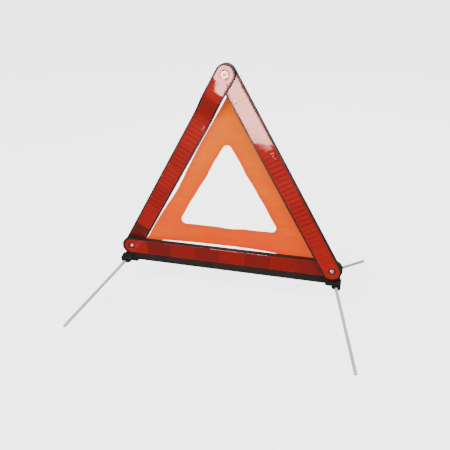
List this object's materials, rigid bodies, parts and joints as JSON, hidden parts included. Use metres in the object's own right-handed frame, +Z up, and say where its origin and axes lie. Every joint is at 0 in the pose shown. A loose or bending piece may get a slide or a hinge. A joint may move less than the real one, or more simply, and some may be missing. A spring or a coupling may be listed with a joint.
{
  "type": "warning triangle",
  "caption": "Free-standing folding roadside warning triangle with red reflector bars, an orange fluorescent sheet and swing-out wire legs.",
  "frame": {"origin": "on the ground, under the middle of the base bar, at the centre of the overall box's underside", "axes": "+X along the base to the right seen from the front, +Y to the rear, +Z up; the reflector faces -Y"},
  "size_m": [0.5204, 0.3758, 0.444],
  "materials": {
    "black": "fine satin moulded plastic",
    "red_lens": "clear red moulded reflector over prisms",
    "orange_cloth": "fluorescent coated woven sheet",
    "zinc": "bright zinc plated wire",
    "nickel": "nickel plated rivets"
  },
  "bodies": {
    "base": {"base_housing": "black", "base_lens": "red_lens", "foot_rail": "black", "rail_screws": "zinc", "leg_bracket_left": "black", "leg_bracket_right": "black", "leg_pivot_pins": "black", "lower_left_rivet": "nickel", "lower_right_rivet": "nickel", "fluorescent_sheet": "orange_cloth", "sheet_eyelets": "nickel"},
    "left_arm": {"left_arm_housing": "black", "left_arm_lens": "red_lens", "left_arm_tip_strip": "black", "left_arm_tip_lens": "red_lens", "press_stud_cap": "nickel"},
    "right_arm": {"right_arm_housing": "black", "right_arm_lens": "red_lens", "press_stud_post": "nickel"},
    "leg_front_left": {"leg_rod_front_left": "zinc", "leg_knuckle_front_left": "black"},
    "leg_front_right": {"leg_rod_front_right": "zinc", "leg_knuckle_front_right": "black"},
    "leg_rear_left": {"leg_rod_rear_left": "zinc", "leg_knuckle_rear_left": "black"},
    "leg_rear_right": {"leg_rod_rear_right": "zinc", "leg_knuckle_rear_right": "black"}
  },
  "joints": [
    {"name": "right_arm_fold", "type": "hinge", "parent": "base", "child": "right_arm", "pos_m": [0.2, -0.0042, 0.08], "axis": [0, -0.9998, 0.0216], "range_deg": [0, 60]},
    {"name": "left_arm_fold", "type": "hinge", "parent": "base", "child": "left_arm", "pos_m": [-0.2, 0.0124, 0.08], "axis": [0, 1, 0], "range_deg": [0, 60], "deforming": ["left_arm_tip_strip", "left_arm_tip_lens", "press_stud_cap"]},
    {"name": "leg_front_left_swing", "type": "hinge", "parent": "base", "child": "leg_front_left", "pos_m": [-0.208, -0.01, 0.0535], "axis": [0, -0.2781, 0.9605], "range_deg": [0, 105.16]},
    {"name": "leg_front_right_swing", "type": "hinge", "parent": "base", "child": "leg_front_right", "pos_m": [0.208, -0.01, 0.0535], "axis": [0, 0.2781, -0.9605], "range_deg": [0, 105.16]},
    {"name": "leg_rear_left_swing", "type": "hinge", "parent": "base", "child": "leg_rear_left", "pos_m": [-0.208, 0.024, 0.0675], "axis": [0, -0.3727, -0.928], "range_deg": [0, 105.88]},
    {"name": "leg_rear_right_swing", "type": "hinge", "parent": "base", "child": "leg_rear_right", "pos_m": [0.208, 0.024, 0.0675], "axis": [0, 0.3727, 0.928], "range_deg": [0, 105.88]}
  ],
  "couplings": [
    {"joint": "left_arm_fold", "follows": "right_arm_fold", "ratio": 1}
  ]
}
